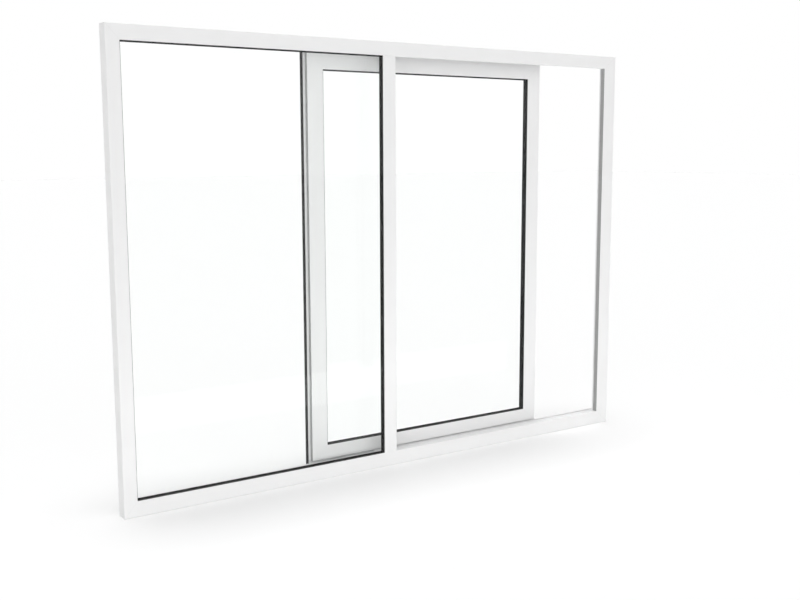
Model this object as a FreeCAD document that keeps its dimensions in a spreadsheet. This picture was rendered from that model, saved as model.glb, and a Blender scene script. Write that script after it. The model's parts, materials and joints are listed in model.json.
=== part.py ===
import FreeCAD, Part
import os
import re

import Sketcher
from FreeCAD import Placement, Rotation, Vector

# White sliding patio door, seen from outside.
# One outer frame with a mullion: the left bay holds fixed glass, the right bay is the doorway.
# One glazed sash runs along the inner side of the frame, on a low rail behind the sill.
# X runs along the width, Y from outside to inside, Z up. Origin: middle of the sill underside.

# Driving sizes in millimetres
SIZES = {
    "overall_width": (2920, "outer width of the frame"),
    "overall_height": (2100, "outer height of the frame"),
    "frame_depth": (64, "outside to inside"),
    "lip_depth": (27.5, "depth of the front lip of the frame"),
    "rebate_step": (27, "how far the rear part stands back from the lip edge"),
    "left_face": (61.5, "width of the left jamb seen from the front"),
    "right_face": (81.5, "width of the right jamb seen from the front"),
    "head_face": (67, "height of the head seen from the front"),
    "sill_face": (71, "height of the sill seen from the front"),
    "fixed_share": (0.46339, "left edge of the mullion as a share of the overall width"),
    "mullion_face": (73.5, "width of the mullion seen from the front"),
    "edge_break": (1.5, "small chamfer on the long front edges"),
    "pane": (4, "thickness of one glass pane"),
    "pane_set_back": (2, "outer pane behind the face of its frame or sash"),
    "seal_set_back": (1, "edge seal behind the face of its frame or sash"),
    "fixed_seal": (1, "thickness of the edge seal round the fixed glass"),
    "fixed_unit": (24, "thickness of the fixed glass unit"),
    "fixed_bead_depth": (16, "fixed glazing bead, outside to inside"),
    "fixed_bead_drop": (11, "fall of the bevel on the fixed glazing bead"),
    "bead_nose": (1, "flat nose of every glazing bead"),
    "side_cover": (19.8, "sash face past the doorway at each side when closed"),
    "top_cover": (14.5, "sash face past the doorway at the top"),
    "low_cover": (7, "sash face past the doorway at the bottom"),
    "closed_share": (0.6966, "how far the sash stands along its travel, 0 open and 1 closed"),
    "sash_set_back": (100, "sash face behind the front of the frame"),
    "stile_face": (85.5, "width of both sash stiles"),
    "top_rail_face": (84, "height of the top rail of the sash"),
    "bottom_rail_face": (69, "height of the bottom rail of the sash"),
    "sash_body_depth": (20, "front part of the sash section"),
    "sash_flange_depth": (24, "rear part of the sash section, with the lap all round"),
    "side_lap": (13, "lap of the rear part at the sides and at the top"),
    "bottom_lap": (23, "lap of the rear part at the bottom"),
    "sash_seal": (1, "thickness of the edge seal round the sash glass"),
    "sash_seal_depth": (30, "depth of the edge seal round the sash glass"),
    "sash_unit": (28, "thickness of the sash glass unit"),
    "bead_seat": (16, "how far the bead seat is wider than the glass opening"),
    "sash_bead_drop": (11, "fall of the bevel on the sash bead"),
    "meeting_seal": (2, "thickness of the black strip on the left stile"),
    "doorway_seal": (5, "width and depth of the seal round the doorway"),
    "doorway_seal_step": (10, "doorway seal behind the lip edge"),
    "rail_start": (32, "left end of both rails from the left end of the frame"),
    "rail_stop": (10, "right end of both rails from the right end of the frame"),
    "rail_wall": (4, "wall of the running rail and of the guide rail"),
    "inner_sill_depth": (46, "how far the inner sill stands behind the frame"),
    "inner_sill_height": (54, "top of the inner sill above the floor"),
    "inner_sill_round": (3, "rounded upper edge of the inner sill"),
    "rail_reach": (40, "how far the running rail reaches behind the inner sill"),
    "rail_web": (10, "underside of the running rail above the floor"),
    "rail_track": (26, "top of the running track above the floor"),
    "rail_track_width": (6, "width of the running track"),
    "rail_back_height": (36, "top of the rail leg on the inner sill"),
    "rail_foot_inset": (2, "foot of the running rail from its inner edge"),
    "track_line": (68, "middle of the track behind the frame"),
    "roller_radius": (17, "roller of the carriage"),
    "roller_width": (7, "tread of the roller"),
    "roller_gap": (0.3, "running gap between roller and track"),
    "axle_radius": (3, "axle of the roller"),
    "carriage_length": (70, "carriage along the rail"),
    "carriage_width": (16, "carriage across the rail"),
    "carriage_hang": (4, "carriage below the sash"),
    "carriage_rise": (25, "carriage inside the sash"),
    "carriage_slot": (9, "slot of the roller across the rail"),
    "carriage_roof": (2, "roof over the roller"),
    "carriage_fit": (0.25, "side clearance of the carriage in its pocket"),
    "carriage_inset": (165, "middle of the carriage from the edge of the sash face"),
    "guide_wall": (2.5, "legs of the guide channel"),
    "guide_inside": (15, "free width inside the guide channel"),
    "guide_drop": (18, "depth of the guide channel"),
    "guide_line": (16, "underside of the channel roof below the top of the frame"),
    "guide_back_low": (38, "lower edge of the guide rail leg below the top of the frame"),
    "guide_back_high": (6, "upper edge of the guide rail leg below the top of the frame"),
    "cover_wall": (3, "wall of the cover on the guide rail"),
    "shoe_length": (50, "guide shoe along the rail"),
    "shoe_width": (12, "guide shoe across the rail"),
    "shoe_height": (17.5, "guide shoe above the sash"),
    "shoe_round": (5, "rounded ends of the guide shoe"),
    "shoe_inset": (60, "middle of the guide shoe from the edge of the sash face"),
    "stop_length": (30, "end stop along the rail"),
    "stop_gap": (5, "gap left between shoe and stop at the end of the travel"),
    "pull_share": (0.472, "middle of the pull as a share of the sash height"),
    "pull_length": (200, "length of the pull plate"),
    "pull_width": (28, "width of the pull plate"),
    "pull_plate": (4, "thickness of the pull plate"),
    "pull_inset": (7, "pull plate from the edge of the stile"),
    "cup_border": (5, "rim of the pull plate beside the cup"),
    "cup_end": (28, "rim of the pull plate above and below the cup"),
    "cup_depth": (12, "cup set into the stile"),
    "cup_wall": (1.5, "wall of the cup"),
    "cup_fit": (0.25, "clearance of the cup in its pocket"),
}

# Sizes that follow from the driving ones
FOLLOWING = {
    "mullion_start": ("=overall_width*fixed_share", "left edge of the mullion"),
    "mullion_end": ("=mullion_start+mullion_face", "right edge of the mullion"),
    "doorway_width": ("=overall_width-right_face-mullion_end", "clear width between the lips"),
    "sash_width": ("=doorway_width+2*side_cover", "width of the sash face"),
    "sash_height": (
        "=overall_height-head_face-sill_face+top_cover+low_cover",
        "height of the sash face",
    ),
    "sash_rise": ("=sill_face-low_cover", "lower edge of the sash face above the floor"),
    "sash_depth": ("=sash_body_depth+sash_flange_depth", "whole section of the sash"),
    "open_middle": ("=rail_start+side_lap+sash_width/2", "middle of the open sash"),
    "closed_middle": ("=mullion_end+doorway_width/2", "middle of the closed sash"),
    "sash_middle": (
        "=open_middle+(closed_middle-open_middle)*closed_share",
        "middle of the sash where it stands",
    ),
    "carriage_offset": ("=sash_width/2-carriage_inset", "carriage from the middle of the sash"),
    "shoe_offset": ("=sash_width/2-shoe_inset", "guide shoe from the middle of the sash"),
    "pull_middle": ("=sash_height*pull_share", "middle of the pull above the foot of the face"),
}

doc = FreeCAD.newDocument("patio_door")
sheet = doc.addObject("Spreadsheet::Sheet", "Sizes")
for row, (word, (value, meaning)) in enumerate((SIZES | FOLLOWING).items(), start=1):
    sheet.set(f"A{row}", word)
    sheet.set(f"B{row}", str(value))
    sheet.set(f"C{row}", meaning)
    sheet.setAlias(f"B{row}", word)
doc.recompute()

nodes = []


def formula(text):
    """Put the sheet's name before every size word."""
    return re.sub(r"[a-z_]{3,}", lambda match: f"Sizes.{match.group(0)}", text)


def size(text):
    """Number that a formula gives now."""
    return float(sheet.evalExpression(formula(text)))


def place(item, x, y, z):
    """Bind the position of an object to the sheet."""
    for axis, text in zip("xyz", (x, y, z)):
        item.setExpression(f"Placement.Base.{axis}", formula(text))


def new_body(label, where, turn=0):
    """Empty body at a place, turned about Y."""
    body = doc.addObject("PartDesign::Body", label)
    body.Label = label
    body.Placement = Placement(Vector(), Rotation(Vector(0, 1, 0), turn))
    place(body, *where)
    nodes.append(body)
    return body


def outline(body, name, role, loops, offset="0"):
    """Sketch of closed loops, each corner held by two distances from the origin."""
    sketch = body.newObject("Sketcher::SketchObject", name)
    plane = next(part for part in body.Origin.OriginFeatures if part.Role == role)
    sketch.AttachmentSupport = [(plane, "")]
    sketch.MapMode = "FlatFace"
    sketch.setExpression("AttachmentOffset.Base.z", formula(offset))
    for loop in loops:
        start = sketch.GeometryCount
        count = len(loop)
        spots = [Vector(size(u), size(v), 0) for u, v in loop]
        for index in range(count):
            sketch.addGeometry(Part.LineSegment(spots[index], spots[(index + 1) % count]))
        for index, (u, v) in enumerate(loop):
            line = start + index
            follower = start + (index + 1) % count
            sketch.addConstraint(Sketcher.Constraint("Coincident", line, 2, follower, 1))
            for kind, text, value in (("DistanceX", u, spots[index].x), ("DistanceY", v, spots[index].y)):
                number = sketch.addConstraint(Sketcher.Constraint(kind, -1, 1, line, 1, value))
                sketch.setExpression(f"Constraints[{number}]", formula(text))
    return sketch


def pad(body, name, sketch, length, backwards=False):
    """Add material from a sketch."""
    feature = body.newObject("PartDesign::Pad", name)
    feature.Profile = sketch
    feature.Reversed = backwards
    feature.setExpression("Length", formula(length))
    return feature


def pocket(body, name, sketch, length, backwards=False):
    """Take material away from a sketch."""
    feature = body.newObject("PartDesign::Pocket", name)
    feature.Profile = sketch
    feature.Reversed = backwards
    feature.setExpression("Length", formula(length))
    return feature


def layer(body, name, loops, start, depth):
    """One layer of a piece, drawn from the front and padded towards the inside."""
    sketch = outline(body, f"{body.Name}_{name}_outline", "XZ_Plane", loops, f"-({start})")
    return pad(body, f"{body.Name}_{name}", sketch, depth, backwards=True)


def break_front_edges(body, base, direction):
    """Small chamfer on the long edges of the front face."""
    doc.recompute()
    names = []
    for number, edge in enumerate(base.Shape.Edges, start=1):
        ends = [vertex.Point for vertex in edge.Vertexes]
        along = (ends[1] - ends[0]).normalize()
        in_front = all(abs(end.y) < 0.01 for end in ends)
        if in_front and abs(along.dot(direction)) > 0.999:
            names.append(f"Edge{number}")
    feature = body.newObject("PartDesign::Chamfer", f"{body.Name}_edge_break")
    feature.Base = (base, names)
    feature.setExpression("Size", formula("edge_break"))
    return feature


def grown(box, amount):
    """Rectangle pushed out on all four sides."""
    left, low, right, high = box
    return (f"{left}-({amount})", f"{low}-({amount})", f"{right}+({amount})", f"{high}+({amount})")


def loop_of(box):
    """Four corners of a rectangle."""
    left, low, right, high = box
    return [(left, low), (right, low), (right, high), (left, high)]


def side_of(side, outer, inner):
    """Mitred outline of the member that fills one side between two rectangles."""
    left, low, right, high = range(4)
    ends = {
        "left": ((left, low), (left, high)),
        "right": ((right, low), (right, high)),
        "bottom": ((left, low), (right, low)),
        "top": ((left, high), (right, high)),
    }
    (u1, v1), (u2, v2) = ends[side]
    return [
        (outer[u1], outer[v1]),
        (inner[u1], inner[v1]),
        (inner[u2], inner[v2]),
        (outer[u2], outer[v2]),
    ]


UPRIGHT = Vector(0, 0, 1)
LEVEL = Vector(1, 0, 0)

# Outer frame
FRAME_PLACE = ("-overall_width/2", "-frame_depth/2", "0")
FRAME_OUTER = ("0", "0", "overall_width", "overall_height")
LIP_EDGE = (
    "left_face",
    "sill_face",
    "overall_width-right_face",
    "overall_height-head_face",
)
REBATE_EDGE = grown(LIP_EDGE, "rebate_step")

for label, side, direction in (
    ("left_jamb", "left", UPRIGHT),
    ("right_jamb", "right", UPRIGHT),
    ("head", "top", LEVEL),
    ("sill", "bottom", LEVEL),
):
    member = new_body(label, FRAME_PLACE)
    layer(member, "lip", [side_of(side, FRAME_OUTER, LIP_EDGE)], "0", "lip_depth")
    rear = layer(
        member,
        "rear",
        [side_of(side, FRAME_OUTER, REBATE_EDGE)],
        "lip_depth",
        "frame_depth-lip_depth",
    )
    break_front_edges(member, rear, direction)

# Mullion: front flange between the lips, narrower web let into the rebates
mullion = new_body("mullion", FRAME_PLACE)
mullion_flange = ("mullion_start", LIP_EDGE[1], "mullion_end", LIP_EDGE[3])
mullion_web = (
    "mullion_start+rebate_step",
    REBATE_EDGE[1],
    "mullion_end-rebate_step",
    REBATE_EDGE[3],
)
layer(mullion, "flange", [loop_of(mullion_flange)], "0", "lip_depth")
mullion_rear = layer(
    mullion,
    "web",
    [loop_of(mullion_web)],
    "lip_depth",
    "frame_depth-lip_depth",
)
break_front_edges(mullion, mullion_rear, UPRIGHT)


def seal_ring(label, where, outer, width, start, depth):
    """Square seal that runs round an opening."""
    body = new_body(label, where)
    layer(body, "ring", [loop_of(outer), loop_of(grown(outer, f"-({width})"))], start, depth)


def glass_pane(label, origin, opening, start):
    """Flat pane that fills an opening."""
    left, low, right, high = opening
    item = doc.addObject("Part::Box", label)
    item.Label = label
    item.setExpression("Length", formula(f"{right}-({left})"))
    item.setExpression("Width", formula("pane"))
    item.setExpression("Height", formula(f"{high}-({low})"))
    x, y, z = origin
    place(item, f"{x}+{left}", f"{y}+{start}", f"{z}+{low}")
    nodes.append(item)


def glazing_beads(prefix, origin, seat, start, height, depth, drop):
    """Four mitred beads with a bevelled face, laid round a seat behind the glass."""
    left, low, right, high = seat
    x, y, z = origin
    across = f"{right}-({left})"
    upward = f"{high}-({low})"
    for side, corner, length, turn in (
        ("bottom", (left, low), across, 0),
        ("right", (right, low), upward, -90),
        ("top", (right, high), across, 180),
        ("left", (left, high), upward, 90),
    ):
        body = new_body(f"{prefix}_{side}", (f"{x}+{corner[0]}", f"{y}+{start}", f"{z}+{corner[1]}"), turn)
        section = [
            ("0", "0"),
            ("0", height),
            ("bead_nose", height),
            (depth, f"{height}-{drop}"),
            (depth, "0"),
        ]
        sketch = outline(body, f"{body.Name}_section", "YZ_Plane", [section])
        pad(body, f"{body.Name}_run", sketch, length)
        near_end = [("-1", "-1"), (f"{height}+1", f"{height}+1"), ("-1", f"{height}+1")]
        far_end = [
            (f"{length}+1", "-1"),
            (f"{length}+1", f"{height}+1"),
            (f"{length}-({height})-1", f"{height}+1"),
        ]
        mitres = outline(body, f"{body.Name}_mitres", "XZ_Plane", [near_end, far_end])
        pocket(body, f"{body.Name}_mitred", mitres, depth)


# Fixed glass in the left bay
FIXED_OPENING = (LIP_EDGE[0], LIP_EDGE[1], "mullion_start", LIP_EDGE[3])
FIXED_PANE = grown(FIXED_OPENING, "-fixed_seal")
seal_ring(
    "fixed_edge_seal",
    FRAME_PLACE,
    FIXED_OPENING,
    "fixed_seal",
    "seal_set_back",
    "lip_depth-seal_set_back",
)
glass_pane("fixed_outer_pane", FRAME_PLACE, FIXED_PANE, "pane_set_back")
glass_pane("fixed_inner_pane", FRAME_PLACE, FIXED_PANE, "pane_set_back+fixed_unit-pane")
glazing_beads(
    "fixed_bead",
    FRAME_PLACE,
    grown(FIXED_OPENING, "rebate_step"),
    "lip_depth",
    "rebate_step+fixed_seal",
    "fixed_bead_depth",
    "fixed_bead_drop",
)

# Seal round the doorway, on the back of the lip
DOORWAY = ("mullion_end", LIP_EDGE[1], LIP_EDGE[2], LIP_EDGE[3])
seal_ring(
    "doorway_seal",
    FRAME_PLACE,
    grown(DOORWAY, "doorway_seal_step+doorway_seal"),
    "doorway_seal",
    "lip_depth",
    "doorway_seal",
)

# Sliding sash
SASH_MIDDLE = "sash_middle-overall_width/2"
SASH_PLACE = (f"{SASH_MIDDLE}-sash_width/2", "sash_set_back-frame_depth/2", "sash_rise")
SASH_FACE = ("0", "0", "sash_width", "sash_height")
SASH_LAP = ("-side_lap", "-bottom_lap", "sash_width+side_lap", "sash_height+side_lap")
SASH_OPENING = (
    "stile_face",
    "bottom_rail_face",
    "sash_width-stile_face",
    "sash_height-top_rail_face",
)
SASH_SEAT = grown(SASH_OPENING, "bead_seat")
SEAT_START = "seal_set_back+sash_seal_depth"

sash_members = {}
for label, side, direction in (
    ("sash_left_stile", "left", UPRIGHT),
    ("sash_right_stile", "right", UPRIGHT),
    ("sash_top_rail", "top", LEVEL),
    ("sash_bottom_rail", "bottom", LEVEL),
):
    member = new_body(label, SASH_PLACE)
    layer(member, "front", [side_of(side, SASH_FACE, SASH_OPENING)], "0", "sash_body_depth")
    layer(
        member,
        "flange",
        [side_of(side, SASH_LAP, SASH_OPENING)],
        "sash_body_depth",
        f"{SEAT_START}-sash_body_depth",
    )
    seat = layer(
        member,
        "seat",
        [side_of(side, SASH_LAP, SASH_SEAT)],
        SEAT_START,
        f"sash_depth-({SEAT_START})",
    )
    break_front_edges(member, seat, direction)
    sash_members[label] = member

SASH_PANE = grown(SASH_OPENING, "-sash_seal")
seal_ring(
    "sash_edge_seal",
    SASH_PLACE,
    SASH_OPENING,
    "sash_seal",
    "seal_set_back",
    "sash_seal_depth",
)
glass_pane("sash_outer_pane", SASH_PLACE, SASH_PANE, "pane_set_back")
glass_pane("sash_inner_pane", SASH_PLACE, SASH_PANE, "pane_set_back+sash_unit-pane")
glazing_beads(
    "sash_bead",
    SASH_PLACE,
    SASH_SEAT,
    SEAT_START,
    "bead_seat+sash_seal",
    f"(sash_depth-({SEAT_START}))",
    "sash_bead_drop",
)

# Black strip on the edge of the left stile
strip = new_body("meeting_seal", SASH_PLACE)
strip_face = ("-side_lap-meeting_seal", SASH_LAP[1], "-side_lap", SASH_LAP[3])
layer(strip, "strip", [loop_of(strip_face)], "sash_body_depth", "sash_flange_depth")

# Inner sill: a low step behind the sill, under the front part of the sash
BACK_PLACE = ("rail_start-overall_width/2", "frame_depth/2", "0")
RAIL_LENGTH = "overall_width-rail_start-rail_stop"
inner_sill = new_body("inner_sill", BACK_PLACE)
step_face = ("0", "0", "inner_sill_depth", "inner_sill_height")
step_sketch = outline(inner_sill, "inner_sill_section", "YZ_Plane", [loop_of(step_face)])
step_run = pad(inner_sill, "inner_sill_run", step_sketch, RAIL_LENGTH)
doc.recompute()
upper = [
    f"Edge{number}"
    for number, edge in enumerate(step_run.Shape.Edges, start=1)
    if all(
        abs(end.Z - size("inner_sill_height")) < 0.01 and abs(end.Y - size("inner_sill_depth")) < 0.01
        for end in edge.Vertexes
    )
]
step_rounding = inner_sill.newObject("PartDesign::Fillet", "inner_sill_rounding")
step_rounding.Base = (step_run, upper)
step_rounding.setExpression("Radius", formula("inner_sill_round"))

# Running rail behind the inner sill
RAIL_PLACE = (BACK_PLACE[0], "frame_depth/2+inner_sill_depth", "0")
TRACK = "track_line-inner_sill_depth"
running_rail = new_body("running_rail", RAIL_PLACE)
rail_top = "rail_web+rail_wall"
foot_edge = "rail_reach-rail_foot_inset"
rail_section = [
    ("0", "rail_wall"),
    ("rail_wall", "rail_wall"),
    ("rail_wall", "rail_web"),
    (f"{foot_edge}-rail_wall", "rail_web"),
    (f"{foot_edge}-rail_wall", "0"),
    (foot_edge, "0"),
    (foot_edge, "rail_web"),
    ("rail_reach", "rail_web"),
    ("rail_reach", rail_top),
    (f"{TRACK}+rail_track_width/2", rail_top),
    (f"{TRACK}+rail_track_width/2", "rail_track"),
    (f"{TRACK}-rail_track_width/2", "rail_track"),
    (f"{TRACK}-rail_track_width/2", rail_top),
    ("rail_wall", rail_top),
    ("rail_wall", "rail_back_height"),
    ("0", "rail_back_height"),
]
rail_sketch = outline(running_rail, "running_rail_section", "YZ_Plane", [rail_section])
pad(running_rail, "running_rail_run", rail_sketch, RAIL_LENGTH)

# Guide rail behind the head
GUIDE_PLACE = (BACK_PLACE[0], BACK_PLACE[1], "overall_height")
guide_rail = new_body("guide_rail", GUIDE_PLACE)
near_leg = "track_line-guide_inside/2"
far_leg = "track_line+guide_inside/2"
guide_section = [
    ("0", "-guide_back_low"),
    ("rail_wall", "-guide_back_low"),
    ("rail_wall", "-guide_line"),
    (f"{near_leg}-guide_wall", "-guide_line"),
    (f"{near_leg}-guide_wall", "-guide_line-guide_drop"),
    (near_leg, "-guide_line-guide_drop"),
    (near_leg, "-guide_line"),
    (far_leg, "-guide_line"),
    (far_leg, "-guide_line-guide_drop"),
    (f"{far_leg}+guide_wall", "-guide_line-guide_drop"),
    (f"{far_leg}+guide_wall", "-guide_line+rail_wall"),
    ("rail_wall", "-guide_line+rail_wall"),
    ("rail_wall", "-guide_back_high"),
    ("0", "-guide_back_high"),
]
guide_sketch = outline(guide_rail, "guide_rail_section", "YZ_Plane", [guide_section])
pad(guide_rail, "guide_rail_run", guide_sketch, RAIL_LENGTH)

# Cover over the guide rail, on its top and room side
guide_cover = new_body("guide_cover", GUIDE_PLACE)
GUIDE_TOP = "-guide_line+rail_wall"
cover_section = [
    ("rail_wall", GUIDE_TOP),
    (f"{far_leg}+guide_wall", GUIDE_TOP),
    (f"{far_leg}+guide_wall", "-guide_line-guide_drop"),
    (f"{far_leg}+guide_wall+cover_wall", "-guide_line-guide_drop"),
    (f"{far_leg}+guide_wall+cover_wall", f"{GUIDE_TOP}+cover_wall"),
    ("rail_wall", f"{GUIDE_TOP}+cover_wall"),
]
cover_sketch = outline(guide_cover, "guide_cover_section", "YZ_Plane", [cover_section])
pad(guide_cover, "guide_cover_run", cover_sketch, RAIL_LENGTH)

# End stops inside the guide channel
REACH = "shoe_offset+shoe_length/2+stop_gap"
for label, start in (
    ("guide_stop_left", f"open_middle-overall_width/2-({REACH})-stop_length"),
    ("guide_stop_right", f"closed_middle-overall_width/2+{REACH}"),
):
    stop = doc.addObject("Part::Box", label)
    stop.Label = label
    stop.setExpression("Length", formula("stop_length"))
    stop.setExpression("Width", formula("guide_inside"))
    stop.setExpression("Height", formula("guide_drop"))
    place(stop, start, f"frame_depth/2+{near_leg}", "overall_height-guide_line-guide_drop")
    nodes.append(stop)

# Guide shoes on the top rail of the sash
for label, sign in (("guide_shoe_left", "-"), ("guide_shoe_right", "+")):
    shoe = new_body(
        label,
        (
            f"{SASH_MIDDLE}{sign}shoe_offset",
            "frame_depth/2+track_line",
            "sash_rise+sash_height+side_lap",
        ),
    )
    half = ("-shoe_length/2", "-shoe_width/2", "shoe_length/2", "shoe_width/2")
    plan = outline(shoe, f"{label}_plan", "XY_Plane", [loop_of(half)])
    block = pad(shoe, f"{label}_block", plan, "shoe_height")
    doc.recompute()
    corners = []
    for number, edge in enumerate(block.Shape.Edges, start=1):
        if abs(edge.Vertexes[0].Z - edge.Vertexes[1].Z) > 1:
            corners.append(f"Edge{number}")
    rounding = shoe.newObject("PartDesign::Fillet", f"{label}_rounding")
    rounding.Base = (block, corners)
    rounding.setExpression("Radius", formula("shoe_round"))

# Carriages and rollers under the sash
AXLE_HEIGHT = "rail_track+roller_gap+roller_radius"
SASH_FOOT = "sash_rise-bottom_lap"
CARRIAGE_LOW = f"{SASH_FOOT}-carriage_hang"
pocket_half = "carriage_length/2+carriage_fit"
for label, sign in (("left", "-"), ("right", "+")):
    carriage = new_body(
        f"carriage_{label}",
        (f"{SASH_MIDDLE}{sign}carriage_offset", "frame_depth/2+track_line", CARRIAGE_LOW),
    )
    plan = ("-carriage_length/2", "-carriage_width/2", "carriage_length/2", "carriage_width/2")
    carriage_plan = outline(carriage, f"{carriage.Name}_plan", "XY_Plane", [loop_of(plan)])
    pad(carriage, f"{carriage.Name}_block", carriage_plan, "carriage_hang+carriage_rise")
    gap = ("-roller_radius-2", "-carriage_slot/2", "roller_radius+2", "carriage_slot/2")
    gap_plan = outline(carriage, f"{carriage.Name}_gap_plan", "XY_Plane", [loop_of(gap)])
    pocket(
        carriage,
        f"{carriage.Name}_gap",
        gap_plan,
        "carriage_hang+carriage_rise-carriage_roof",
        backwards=True,
    )
    roller = new_body(
        f"roller_{label}",
        (f"{SASH_MIDDLE}{sign}carriage_offset", "frame_depth/2+track_line", AXLE_HEIGHT),
    )
    half_axle = "carriage_slot/2"
    roller_half = [
        ("0", f"-({half_axle})"),
        ("axle_radius", f"-({half_axle})"),
        ("axle_radius", "-roller_width/2"),
        ("roller_radius", "-roller_width/2"),
        ("roller_radius", "roller_width/2"),
        ("axle_radius", "roller_width/2"),
        ("axle_radius", half_axle),
        ("0", half_axle),
    ]
    profile = outline(roller, f"{roller.Name}_section", "XY_Plane", [roller_half])
    turned = roller.newObject("PartDesign::Revolution", f"{roller.Name}_turned")
    turned.Profile = profile
    turned.ReferenceAxis = (profile, ["V_Axis"])
    turned.Angle = 360
    # Pocket for the carriage, cut up into the bottom rail
    rail = sash_members["sash_bottom_rail"]
    doc.recompute()
    middle = f"sash_width/2{sign}carriage_offset"
    across = "frame_depth/2+track_line-(sash_set_back-frame_depth/2)"
    seat_box = (
        f"{middle}-({pocket_half})",
        f"{across}-carriage_width/2-carriage_fit",
        f"{middle}+{pocket_half}",
        f"{across}+carriage_width/2+carriage_fit",
    )
    seat_plan = outline(rail, f"carriage_seat_{label}_plan", "XY_Plane", [loop_of(seat_box)], "-bottom_lap")
    pocket(rail, f"carriage_seat_{label}", seat_plan, "carriage_rise", backwards=True)

# Recessed pull on the inner face of the right stile
PULL_RIGHT = "sash_width+side_lap-pull_inset"
pull_plate = (
    f"{PULL_RIGHT}-pull_width",
    "pull_middle-pull_length/2",
    PULL_RIGHT,
    "pull_middle+pull_length/2",
)
cup = (
    f"{pull_plate[0]}+cup_border",
    f"{pull_plate[1]}+cup_end",
    f"{pull_plate[2]}-cup_border",
    f"{pull_plate[3]}-cup_end",
)
stile = sash_members["sash_right_stile"]
cup_seat = outline(
    stile,
    "pull_seat_plan",
    "XZ_Plane",
    [loop_of(grown(cup, "cup_fit"))],
    "-(sash_depth-cup_depth-cup_fit)",
)
doc.recompute()
pocket(stile, "pull_seat", cup_seat, "cup_depth+cup_fit")
pull = new_body("pull_handle", SASH_PLACE)
layer(pull, "cup", [loop_of(cup)], "sash_depth-cup_depth", "cup_depth")
layer(pull, "plate", [loop_of(pull_plate)], "sash_depth", "pull_plate")
doc.recompute()
hollow = outline(
    pull,
    "pull_hollow_plan",
    "XZ_Plane",
    [loop_of(grown(cup, "-cup_wall"))],
    "-(sash_depth-cup_depth+cup_wall)",
)
pocket(pull, "pull_hollow", hollow, "cup_depth+pull_plate-cup_wall")

doc.recompute()
for item in doc.Objects:
    if "Invalid" in item.State or "Error" in item.State:
        raise RuntimeError(f"{item.Label} did not rebuild")
os.makedirs("parts", exist_ok=True)
for node in nodes:
    shape = node.Shape
    if shape.isNull() or not shape.isValid() or len(shape.Solids) != 1:
        raise RuntimeError(f"{node.Label} is not one valid solid")
    shape.exportStep(os.path.join("parts", f"{node.Label}.step"))
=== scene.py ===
import json
import logging
import math
from dataclasses import dataclass, field
from enum import Enum
from typing import Any, Sequence

import bmesh
import bpy
from mathutils import Matrix, Vector


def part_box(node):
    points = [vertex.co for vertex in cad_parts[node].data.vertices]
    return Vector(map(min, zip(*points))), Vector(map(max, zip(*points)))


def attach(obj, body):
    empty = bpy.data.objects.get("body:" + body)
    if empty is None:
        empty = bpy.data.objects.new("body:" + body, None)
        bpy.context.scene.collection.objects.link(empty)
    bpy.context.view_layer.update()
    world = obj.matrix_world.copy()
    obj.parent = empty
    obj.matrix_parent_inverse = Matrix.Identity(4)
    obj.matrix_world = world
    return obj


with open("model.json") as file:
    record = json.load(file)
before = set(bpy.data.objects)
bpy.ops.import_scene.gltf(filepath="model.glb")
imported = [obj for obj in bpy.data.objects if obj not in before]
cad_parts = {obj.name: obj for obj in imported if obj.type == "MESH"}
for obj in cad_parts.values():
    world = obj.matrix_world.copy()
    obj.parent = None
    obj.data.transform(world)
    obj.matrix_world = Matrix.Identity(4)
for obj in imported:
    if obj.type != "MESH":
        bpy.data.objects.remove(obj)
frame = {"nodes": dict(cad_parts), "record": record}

LOG = logging.getLogger("patio_door")
Colour = tuple[float, float, float]
Point = tuple[float, float, float]
Flat = tuple[float, float]

# Corners of a mesh that lie closer than this are one corner
WELD_GAP = 1e-6

# How far the sash reaches past its front face, at the sides and the top, and at the foot
SASH_LAP = 0.013
SASH_FOOT_LAP = 0.023


class Side(Enum):
    """The part of the door that a piece moves with."""

    FRAME = "frame"
    SASH = "sash"


class Signal:
    """One value in a material, on which plain arithmetic adds the nodes."""

    def __init__(self, paint: "Paint", socket: bpy.types.NodeSocket) -> None:
        """Keep the socket and the paint that it belongs to."""
        self.paint = paint
        self.socket = socket

    def __add__(self, other: "Signal | float") -> "Signal":
        """Sum."""
        return self.paint.maths("ADD", self, other)

    def __rsub__(self, other: float) -> "Signal":
        """Difference from a number."""
        return self.paint.maths("SUBTRACT", other, self)

    def __mul__(self, other: "Signal | float") -> "Signal":
        """Product."""
        return self.paint.maths("MULTIPLY", self, other)

    __radd__ = __add__
    __rmul__ = __mul__


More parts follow.
